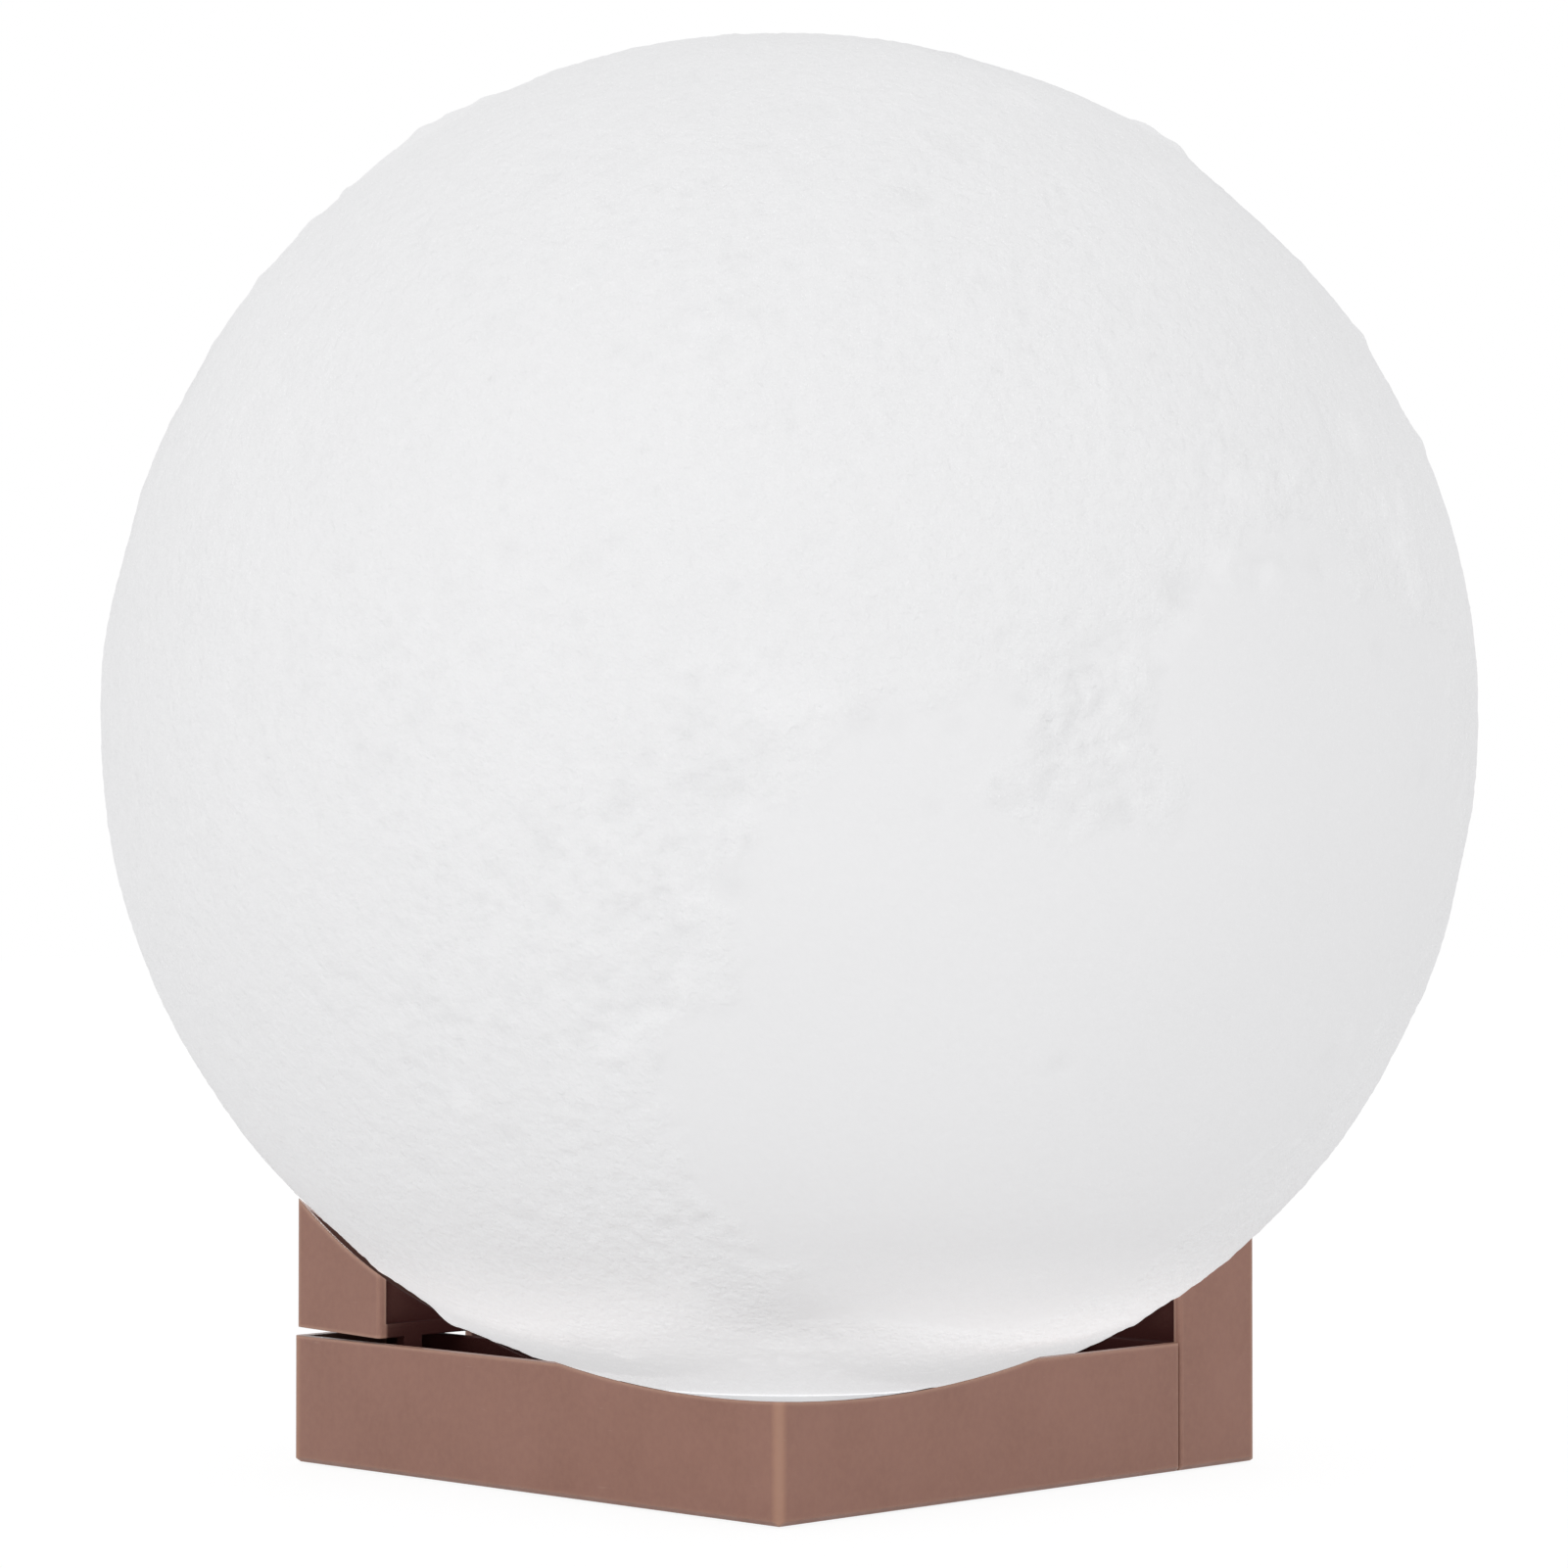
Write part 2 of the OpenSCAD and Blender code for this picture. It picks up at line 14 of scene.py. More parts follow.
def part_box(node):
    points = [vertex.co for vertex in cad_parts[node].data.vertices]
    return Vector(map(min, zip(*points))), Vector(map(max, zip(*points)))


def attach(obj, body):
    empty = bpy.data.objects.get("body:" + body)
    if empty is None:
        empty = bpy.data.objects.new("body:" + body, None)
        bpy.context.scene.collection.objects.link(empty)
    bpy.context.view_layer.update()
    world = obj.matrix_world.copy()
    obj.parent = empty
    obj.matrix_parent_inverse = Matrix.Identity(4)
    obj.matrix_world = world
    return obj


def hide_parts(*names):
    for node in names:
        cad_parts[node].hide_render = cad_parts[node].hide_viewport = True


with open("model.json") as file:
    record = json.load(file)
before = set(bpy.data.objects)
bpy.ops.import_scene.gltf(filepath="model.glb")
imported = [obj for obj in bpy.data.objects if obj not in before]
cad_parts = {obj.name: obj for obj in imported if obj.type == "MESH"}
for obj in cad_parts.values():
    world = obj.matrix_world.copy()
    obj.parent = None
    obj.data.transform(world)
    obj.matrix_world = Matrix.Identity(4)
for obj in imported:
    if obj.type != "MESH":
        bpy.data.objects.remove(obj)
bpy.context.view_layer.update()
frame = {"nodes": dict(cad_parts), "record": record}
nodes = frame["nodes"]
MM = 0.001

# ---------------------------------------------------------------- the photo's viewpoint
IMAGE_W = 1601
SENSOR_MM = 36.0
LENS_MM = 107.9
EYE = Vector((-4.8, -517.4, 64.7)) * MM
LOOK_AT = Vector((-0.6, 0.0, 74.35)) * MM
FOCAL_PX = LENS_MM / SENSOR_MM * IMAGE_W
CENTRE_PX = IMAGE_W / 2


def make_camera():
    data = bpy.data.cameras.new("camera")
    data.lens = LENS_MM
    data.sensor_width = SENSOR_MM
    data.clip_start = 0.01
    data.clip_end = 20
    camera = bpy.data.objects.new("camera", data)
    camera.location = EYE
    camera.rotation_euler = (LOOK_AT - EYE).to_track_quat("-Z", "Y").to_euler()
    bpy.context.scene.collection.objects.link(camera)
    bpy.context.scene.camera = camera


make_camera()

forward = (LOOK_AT - EYE).normalized()
right = forward.cross(Vector((0, 0, 1))).normalized()
up = right.cross(forward)

# ---------------------------------------------------------------- the moon's size, from the frame
moon_lo, moon_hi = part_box("moon_shade")
MOON_R = (moon_hi[0] - moon_lo[0]) / 2
MOON_C = Vector((0, 0, moon_hi[2] - MOON_R))
SHELL_T = 1.6 * MM
OPENING_R = math.sqrt(MOON_R ** 2 - (MOON_C.z - moon_lo[2]) ** 2)
# The stand is a square on a corner, its centre a little to the left of the moon's axis.
STAND_HALF_MM = 37.35
STAND_SHIFT_MM = 1.5


def moon_direction(px, py):
    """The direction from the moon's centre to the point of its surface seen at a pixel.

    A pixel outside the moon's outline gives the nearest point of that outline.
    """
    ray = (forward + right * ((px - CENTRE_PX) / FOCAL_PX)
           - up * ((py - CENTRE_PX) / FOCAL_PX)).normalized()
    to_centre = MOON_C - EYE
    along = to_centre.dot(ray)
    off = to_centre.length_squared - along ** 2
    depth = along - math.sqrt(max(MOON_R ** 2 - off, 0.0))
    return (EYE + ray * depth - MOON_C).normalized()


# ---------------------------------------------------------------- noise on arrays of points
class Noise:
    """Gradient noise, about -1 to 1, the same on each run."""

    FULL_SCALE = 1.6
    OCTAVE_STEP = 2.03
    OCTAVE_SHIFT = 17.3

    def __init__(self, seed):
        rng = np.random.default_rng(seed)
        self.order = np.concatenate([rng.permutation(256)] * 2)
        grads = rng.normal(size=(256, 3))
        self.grads = grads / np.linalg.norm(grads, axis=1)[:, None]

    def __call__(self, points):
        cell = np.floor(points).astype(int)
        f = points - cell
        w = f * f * f * (f * (f * 6 - 15) + 10)
        total = np.zeros(len(points))
        for dx in (0, 1):
            for dy in (0, 1):
                for dz in (0, 1):
                    x, y, z = ((cell + (dx, dy, dz)) & 255).T
                    grad = self.grads[self.order[self.order[self.order[x] + y] + z]]
                    dot = ((f - (dx, dy, dz)) * grad).sum(axis=1)
                    weight = np.ones(len(points))
                    for axis, d in enumerate((dx, dy, dz)):
                        weight *= w[:, axis] if d else 1 - w[:, axis]
                    total += dot * weight
        return total * self.FULL_SCALE

    def octaves(self, points, count, gain=0.5):
        total = np.zeros(len(points))
        size = 1.0
        for i in range(count):
            total += size * self(points * self.OCTAVE_STEP ** i + self.OCTAVE_SHIFT * i)
            size *= gain
        return total


def smooth_step(x, low, high):
    t = np.clip((x - low) / (high - low), 0, 1)
    return t * t * (3 - 2 * t)


# ---------------------------------------------------------------- the moon's relief
# Listed features: pixel x and y, then radius and height in mm. Minus is a hollow.
BUMPS = [
    (1385, 448, 2.2, 0.40), (1432, 560, 2.6, 0.45), (1415, 520, 2.0, 0.35),
    (1445, 605, 2.2, 0.35), (1268, 500, 2.4, 0.22), (1322, 488, 2.2, 0.22),
    (1398, 520, 1.8, 0.25), (1250, 578, 2.6, 0.35), (1190, 670, 2.4, 0.18),
    (1155, 690, 1.6, 0.22), (1150, 765, 1.3, 0.25), (1130, 395, 2.4, 0.16),
    (740, 1358, 2.6, 0.35), (795, 1380, 2.2, 0.35), (838, 1378, 2.6, 0.35),
    (700, 1315, 2.0, 0.25), (640, 1387, 2.4, 0.35), (572, 1372, 2.2, 0.30),
    (472, 1132, 2.0, 0.25), (600, 1118, 1.8, 0.18), (800, 725, 3.0, 0.22),
    (846, 722, 2.4, 0.22), (748, 690, 2.6, 0.18), (760, 835, 2.0, 0.22), (722, 930, 2.6, 0.26),
    (672, 1050, 2.6, 0.26), (700, 1000, 2.2, 0.20), (640, 1075, 2.0, 0.18),
    (1040, 100, 3.0, 0.25), (1182, 186, 2.4, 0.22), (1300, 590, 1.8, 0.22),
    (1215, 640, 2.0, 0.25), (480, 690, 2.4, 0.12), (450, 835, 2.4, 0.14), (600, 790, 2.2, 0.12),
    (990, 735, 1.6, 0.12),
]
PITS = [
    (882, 737, 2.0, -0.30), (918, 741, 1.2, -0.22), (982, 740, 1.3, -0.25),
    (1046, 718, 1.2, -0.34), (1030, 818, 1.8, -0.24), (1066, 806, 1.6, -0.24),
    (1096, 826, 1.4, -0.24), (1204, 604, 2.0, -0.42), (1175, 740, 1.4, -0.20),
    (1187, 686, 1.2, -0.26), (955, 828, 1.2, -0.14), (1082, 1090, 1.3, -0.26),
    (715, 1251, 1.4, -0.30), (712, 738, 1.8, -0.26), (660, 772, 1.4, -0.26),
    (632, 824, 2.0, -0.24), (742, 812, 2.4, -0.34), (780, 770, 1.6, -0.26),
    (748, 912, 2.0, -0.34), (486, 668, 1.5, -0.24), (380, 668, 1.8, -0.22),
    (594, 576, 2.0, -0.20), (452, 600, 1.4, -0.18), (560, 178, 1.8, -0.26),
    (420, 742, 1.4, -0.20), (378, 784, 2.2, -0.20), (556, 866, 1.6, -0.24),
    (505, 890, 1.6, -0.22), (545, 1020, 1.8, -0.26), (590, 1060, 1.6, -0.26),
    (680, 1028, 1.2, -0.26), (876, 302, 1.2, -0.16), (760, 258, 1.6, -0.16),
    (1360, 1080, 2.4, -0.20), (1376, 1062, 1.8, 0.22), (1455, 795, 1.6, -0.16),
    (540, 1250, 1.8, -0.20), (430, 1195, 1.8, -0.18), (1410, 665, 1.6, -0.18),
    (690, 810, 3.2, -0.10),
]
# Crooked valleys and ridges: half width and height in mm, then the pixels they run through.
LINES = [
    (1.2, -0.42, [(1128, 650), (1108, 690), (1092, 735), (1078, 790)]),
    (1.0, -0.36, [(1122, 780), (1138, 810), (1150, 845)]),
    (0.9, -0.22, [(1075, 800), (1052, 812), (1028, 818)]),
    (0.9, -0.18, [(1010, 672), (1030, 640), (1045, 628)]),
    (1.0, -0.24, [(1215, 618), (1262, 584), (1310, 572), (1350, 582)]),
    (0.9, -0.26, [(335, 990), (400, 1026), (455, 1045), (505, 1052)]),
    (0.8, -0.22, [(310, 1010), (350, 1048)]),
    (0.9, -0.28, [(600, 1062), (650, 1036), (690, 985), (700, 940)]),
    (0.8, -0.20, [(560, 995), (620, 1000), (665, 975)]),
    (0.8, -0.20, [(395, 1092), (450, 1122)]),
    (0.8, -0.14, [(580, 776), (640, 776)]),
    (0.8, 0.16, [(620, 1085), (665, 1052), (712, 1012)]),
    (1.2, 0.34, [(1428, 500), (1440, 560), (1448, 612)]),
    (1.0, 0.16, [(700, 690), (760, 684), (782, 720)]),
    (1.0, -0.14, [(1340, 400), (1360, 450), (1372, 500)]),
]
# Crumpled patches: pixel x and y, radius and height in mm, and how many pits they have.
PATCHES = [
    (590, 930, 16, 0.26, 150), (725, 800, 9, 0.26, 70), (1300, 520, 13, 0.26, 50),
    (1115, 735, 8, 0.36, 110), (400, 720, 18, 0.12, 90), (700, 1300, 14, 0.18, 70),
    (840, 1390, 9, 0.18, 20), (470, 1080, 11, 0.18, 60), (1120, 330, 20, 0.10, 60),
    (720, 280, 28, 0.10, 160),
]
# Smooth plains: pixel x and y, then radius in mm.
PLAINS = [
    (1090, 1110, 36), (1330, 900, 34), (1380, 740, 17), (905, 1010, 17), (1290, 700, 9),
    (890, 830, 9), (985, 850, 12), (1050, 1270, 17), (850, 1130, 13), (1180, 960, 26),
    (735, 1095, 9),
]
# Rough land that cuts into the plains: pixel x and y, then radius in mm.
CAPES = [(1105, 730, 8), (1150, 690, 5.5), (1060, 775, 4.5), (1135, 795, 4.5), (1180, 630, 5)]
# Plains of the side away from the viewer: longitude and latitude in degrees, radius in mm.
FAR_PLAINS = [
    (35, 25, 20), (62, -12, 26), (95, 30, 15), (128, -20, 18), (150, 22, 24), (80, 62, 14),
]
# The far side has doubles of the near side's features, turned round and rolled over.
FAR_TURN = Matrix.Rotation(math.radians(160), 3, "Z") @ Matrix.Rotation(math.radians(115), 3, "Y")
FAR_MARGIN_MM = 10.0
# Swells along the outline: degrees from the viewer's right, then height and half width in mm.
SWELLS = [
    (12, -0.25, 4), (21, 0.25, 6), (37, 0.60, 12), (54, 0.90, 14), (66, 0.55, 8), (92, -0.90, 22),
    (117, 0.45, 4), (134, -0.40, 10), (146, -0.20, 7), (168, 0.20, 10), (184, 0.15, 6),
    (195, -0.40, 6), (209, -0.35, 8), (237, 0.60, 6), (242, 0.20, 4), (272, -0.35, 12),
    (286, -0.50, 10), (303, 0.40, 4), (311, -0.60, 7), (318, -0.30, 6), (331, -0.35, 5),
]
# Short knobs on the outline, where the light edge looks bitten: degrees, height, half width.
KNOBS = [
    (226, 0.30, 1.6), (229, -0.20, 1.2), (230, 0.35, 1.2), (236, -0.25, 1.3), (238, 0.35, 1.5),
    (241, 0.20, 1.2), (244, 0.30, 1.2), (247, -0.15, 1.0), (250, 0.20, 1.4), (220, 0.22, 1.4),
    (213, 0.18, 1.2), (206, 0.15, 1.2), (199, 0.16, 1.0), (193, -0.14, 1.0), (301, 0.40, 1.5),
    (304, 0.30, 1.4), (306, -0.25, 1.2), (309, 0.15, 1.2), (318, 0.22, 1.3), (322, -0.20, 1.2),
    (326, 0.28, 1.4), (329, -0.35, 1.5), (332, -0.40, 1.6), (336, 0.35, 1.5), (339, 0.15, 1.2),
    (284, 0.16, 1.2), (277, -0.12, 1.0), (265, 0.12, 1.2), (257, 0.14, 1.3), (120, 0.30, 1.8),
    (116, -0.20, 1.2), (127, 0.25, 1.6), (131, -0.20, 1.2), (104, 0.20, 1.3), (88, 0.25, 1.3),
    (60, 0.15, 1.3), (57, -0.12, 1.2), (119, 0.25, 1.4), (112, 0.25, 1.4),
]
# Random craters: the larger the bias, the more of them are small.
CRATER_SEED = 11
CRATER_COUNT = 3000
CRATER_MIN_MM = 0.6
CRATER_MAX_MM = 4.5
CRATER_BIAS = 3.5
CRATER_DEPTH_MM = 0.075
CRATER_RIM = 0.32
# Layers of noise over the whole moon: height in mm, waves per radius, octaves and their gain.
LONG_SWELL = (0.08, 2.3, 2, 0.5)
LUMPS = (0.06, 24, 2, 0.7)
GRAIN = (0.08, 66, 2, 0.6)
# How much lower the plains lie, and how much of the relief they lose.
PLAIN_DROP_MM = 0.08
PLAIN_CALM = 0.88


def outline_direction(degrees):
    """The direction to the moon's outline, turning from the viewer's right downwards."""
    a = math.radians(degrees)
    centre_x, centre_y, reach = 806, 737, 708
    return moon_direction(centre_x + reach * math.cos(a), centre_y + reach * math.sin(a))


def caps(dirs, centre, radius_mm, reach=3.0):
    """Indices of the points within reach radii of a centre, and their distances in radii."""
    cosine = dirs @ np.array(centre)
    near = np.nonzero(cosine > math.cos(min(reach * radius_mm * MM / MOON_R, math.pi)))[0]
    gap = np.sqrt(np.maximum(2 - 2 * cosine[near], 0)) * MOON_R / (radius_mm * MM)
    return near, gap


def arc_mm(dirs, centre):
    """Distances along the moon's surface from a centre, in mm."""
    return np.arccos(np.clip(dirs @ np.array(centre), -1, 1)) * MOON_R / MM


def far_double(direction, radius_mm):
    """The same feature on the far side, or nothing where it would reach the near side."""
    far = FAR_TURN @ direction
    clear = far.y * MOON_R > (FAR_MARGIN_MM + 1.5 * radius_mm) * MM
    return [far] if clear else []


def both_sides(features):
    """Features at pixels as features at directions, then their doubles on the far side."""
    near = [(moon_direction(x, y), *rest) for x, y, *rest in features]
    return near + [(far, *rest) for centre, *rest in near for far in far_double(centre, rest[0])]


def plain_mask(dirs, noise):
    """1 on the smooth plains, 0 on the rough highlands."""
    wander_mm, waves, blend_mm = 6.0, 7, 2.2
    best = np.full(len(dirs), -1e3)
    spots = [(moon_direction(x, y), r) for x, y, r in PLAINS]
    for longitude, latitude, r in FAR_PLAINS:
        lon, lat = math.radians(longitude), math.radians(latitude)
        spots.append((Vector((math.cos(lon) * math.cos(lat), math.sin(lon) * math.cos(lat),
                              math.sin(lat))), r))
    for centre, r in spots:
        best = np.maximum(best, r - arc_mm(dirs, centre))
    for x, y, r in CAPES:
        best = np.minimum(best, arc_mm(dirs, moon_direction(x, y)) - r)
    warp = wander_mm * noise.octaves(dirs * waves, 3)
    return smooth_step(best + warp, -blend_mm, blend_mm)


def add_craters(dirs, relief, rough):
    """Random craters with raised rims, fewer and fainter on the plains."""
    rng = np.random.default_rng(CRATER_SEED)
    for _ in range(CRATER_COUNT):
        centre = rng.normal(size=3)
        centre /= np.linalg.norm(centre)
        size = rng.random() ** CRATER_BIAS
        radius = CRATER_MIN_MM * (CRATER_MAX_MM / CRATER_MIN_MM) ** size
        depth = CRATER_DEPTH_MM * rng.uniform(0.5, 1.3)
        near, gap = caps(dirs, centre, radius, 2.2)
        if not len(near):
            continue
        bowl = np.where(gap < 1, (1 + CRATER_RIM) * gap ** 2.4 - 1,
                        CRATER_RIM * np.exp(-3.2 * (gap - 1)))
        bowl *= smooth_step(-gap, -2.2, -1.4)
        relief[near] += depth * bowl * rough[near]


def add_pits(dirs, relief, rough):
    """Small sharp pits strewn over the crumpled patches."""
    rng = np.random.default_rng(CRATER_SEED + 1)
    for middle, radius, _, count in both_sides(PATCHES):
        middle = np.array(middle)
        for _ in range(count):
            centre = middle + rng.normal(size=3) * 0.6 * radius * MM / MOON_R
            centre /= np.linalg.norm(centre)
            near, gap = caps(dirs, centre, rng.uniform(0.45, 1.0), 2.0)
            relief[near] -= rng.uniform(0.10, 0.26) * np.exp(-gap ** 2 * 1.6) * rough[near]


def layer(noise, dirs, settings):
    height, waves, count, gain = settings
    return height * noise.octaves(dirs * waves, count, gain)


def moon_relief(dirs):
    """Height of the relief over the CAD sphere in mm at unit directions from the moon's centre."""
    noise = Noise(3)
    fine = Noise(8)
    plain = plain_mask(dirs, noise)
    rough = 1 - PLAIN_CALM * plain
    relief = layer(noise, dirs, LONG_SWELL) - PLAIN_DROP_MM * plain
    relief += rough * (layer(noise, dirs, LUMPS) + layer(fine, dirs, GRAIN))
    bent = dirs + 0.02 * np.stack([fine(dirs * 21 + k) for k in (0, 9, 21)], axis=1)
    for centre, radius, height, _ in both_sides(PATCHES):
        near, gap = caps(dirs, centre, radius, 2.0)
        creases = 0.35 - np.abs(noise.octaves(bent[near] * 42, 2))
        relief[near] += height * creases * np.exp(-gap ** 2 * 1.2) * (0.35 + 0.65 * rough[near])
    add_craters(dirs, relief, rough)
    add_pits(dirs, relief, rough)
    for centre, radius, height in both_sides(BUMPS + PITS):
        near, gap = caps(dirs, centre, radius)
        relief[near] += height * np.exp(-gap ** 2 * 1.4)
    broken = 0.25 + 0.9 * smooth_step(noise(dirs * 40), -0.35, 0.35)
    lines = [(half_w, height, [moon_direction(x, y) for x, y in pixels])
             for half_w, height, pixels in LINES]
    lines += [(half_w, height, sum([far_double(end, half_w) for end in ends], []))
              for half_w, height, ends in lines]
    for half_w, height, ends in lines:
        ends = [np.array(end) for end in ends]
        gap = np.full(len(dirs), 1e3)
        for a, b in zip(ends, ends[1:]):
            ab = b - a
            t = np.clip((bent - a) @ ab / (ab @ ab), 0, 1)
            gap = np.minimum(gap, np.linalg.norm(bent - a - t[:, None] * ab, axis=1))
        relief += height * broken * np.exp(-(gap * MOON_R / (half_w * MM)) ** 2)
    for degrees, height, half_w in SWELLS + KNOBS:
        near, gap = caps(dirs, outline_direction(degrees), half_w)
        relief[near] += height * np.exp(-gap ** 2)
    return relief, plain


def stand_distance(dirs, tilt):
    """Distance in mm from the moon's smooth surface to the stand, and far away where it is far."""
    far_mm = 3.0
    trees = []
    for name in ("front_rail", "back_rail"):
        rail = nodes[name]
        corners = [rail.matrix_world @ v.co for v in rail.data.vertices]
        faces = [tuple(polygon.vertices) for polygon in rail.data.polygons]
        trees.append(BVHTree.FromPolygons(corners, faces))
    distance = np.full(len(dirs), far_mm)
    for i in np.nonzero(tilt < math.radians(60))[0]:
        point = MOON_C + Vector(dirs[i]) * MOON_R
        for tree in trees:
            gap = tree.find_nearest(point, far_mm * MM)[3]
            if gap is not None:
                distance[i] = min(distance[i], gap / MM)
    return distance


def keep_seat_clear(relief, dirs, tilt):
    """Holds the relief off the stand that carries the moon, and ends it before the opening."""
    spare_mm, softness_mm = 0.16, 0.08
    bare_edge, full_relief = math.radians(1.6), math.radians(4.5)
    most = stand_distance(dirs, tilt) - spare_mm
    relief = most - softness_mm * np.logaddexp(0, (most - relief) / softness_mm)
    opening_tilt = math.asin(OPENING_R / MOON_R)
    return relief * smooth_step(tilt, opening_tilt + bare_edge, opening_tilt + full_relief)


def build_moon():
    """The printed shell: a grid of rings from the opening over the top and back inside."""
    columns, outer_rows, inner_rows = 880, 404, 36
    inner_r = MOON_R - SHELL_T
    outer_tilt = np.linspace(math.asin(OPENING_R / MOON_R), math.pi, outer_rows + 1)
    inner_tilt = np.linspace(math.pi, math.asin(OPENING_R / inner_r), inner_rows + 1)
    turn = np.arange(columns) * 2 * math.pi / columns

    def ring_dirs(tilts):
        t, a = np.meshgrid(tilts, turn, indexing="ij")
        return np.stack([np.sin(t) * np.cos(a), np.sin(t) * np.sin(a), -np.cos(t)], axis=2)

    outer = ring_dirs(outer_tilt[:-1]).reshape(-1, 3)
    top = np.array([[0.0, 0.0, 1.0]])
    dirs = np.concatenate([outer, top])
    relief, plain = moon_relief(dirs)
    tilt = np.arccos(np.clip(-dirs[:, 2], -1, 1))
    relief = keep_seat_clear(relief, dirs, tilt)
    shell = dirs * (MOON_R + relief * MM)[:, None]
    inside = ring_dirs(inner_tilt[1:]).reshape(-1, 3) * inner_r
    points = np.concatenate([shell, top * inner_r, inside]) + np.array(MOON_C)

    outer_top = len(outer)
    inner_top = outer_top + 1
    inner_start = inner_top + 1
    j = np.arange(columns)
    k = (j + 1) % columns
    quads = []

    def join(first_a, first_b):
        quads.append(np.stack([first_a + j, first_a + k, first_b + k, first_b + j], axis=1))

    for row in range(outer_rows - 1):
        join(row * columns, (row + 1) * columns)
    for row in range(inner_rows - 1):
        join(inner_start + row * columns, inner_start + (row + 1) * columns)
    join(inner_start + (inner_rows - 1) * columns, 0)
    last = (outer_rows - 1) * columns
    fans = [np.stack([last + j, last + k, np.full(columns, outer_top)], axis=1),
            np.stack([np.full(columns, inner_top), inner_start + k, inner_start + j], axis=1)]
    faces = np.concatenate(quads).tolist() + np.concatenate(fans).tolist()

    mesh = bpy.data.meshes.new("moon_relief")
    mesh.from_pydata(points.tolist(), [], faces)
    mesh.shade_smooth()
    for name, outside in (("plain", plain), ("relief", relief)):
        values = np.zeros(len(points))
        values[:len(outside)] = outside
        mesh.attributes.new(name, "FLOAT", "POINT").data.foreach_set("value", values)
    moon = bpy.data.objects.new("moon_relief", mesh)
    bpy.context.scene.collection.objects.link(moon)
    return moon


# ---------------------------------------------------------------- materials
def linear(r, g, b):
    """A colour written as the photo shows it, 0 to 255, as the shader's linear colour."""
    def one(c):
        c = c / 255
        return c / 12.92 if c <= 0.04045 else ((c + 0.055) / 1.055) ** 2.4
    return (one(r), one(g), one(b), 1)


